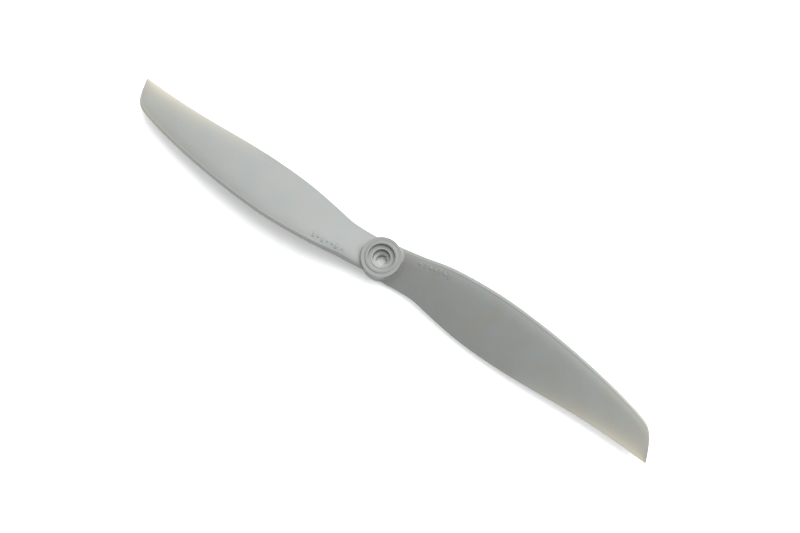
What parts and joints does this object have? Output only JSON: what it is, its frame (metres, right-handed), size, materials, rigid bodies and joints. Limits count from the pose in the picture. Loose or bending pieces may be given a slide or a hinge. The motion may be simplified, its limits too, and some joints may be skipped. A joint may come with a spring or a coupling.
{
  "type": "model aircraft propeller",
  "caption": "Moulded nylon slow-flyer propeller with thin twisted blades, a recessed round hub and a push-in adapter ring for a small shaft.",
  "frame": {"origin": "centre of the hub's rear face, on the shaft axis", "axes": "+Z along the shaft, towards the front of the propeller; +X along one blade"},
  "size_m": [0.2022, 0.0192, 0.0095],
  "materials": {
    "propeller_nylon": "glass-filled nylon, as moulded, slightly translucent, semi-matt",
    "adapter_nylon": "unfilled nylon, as moulded, semi-matt"
  },
  "bodies": {
    "propeller": {"hub": "propeller_nylon", "blade_a": "propeller_nylon", "blade_b": "propeller_nylon"},
    "adapter": {"adapter_ring": "adapter_nylon"}
  },
  "joints": [
    {"name": "adapter_slide", "type": "slide", "parent": "propeller", "child": "adapter", "axis": [0, 0, -1], "range_m": [0, 0.004]}
  ]
}
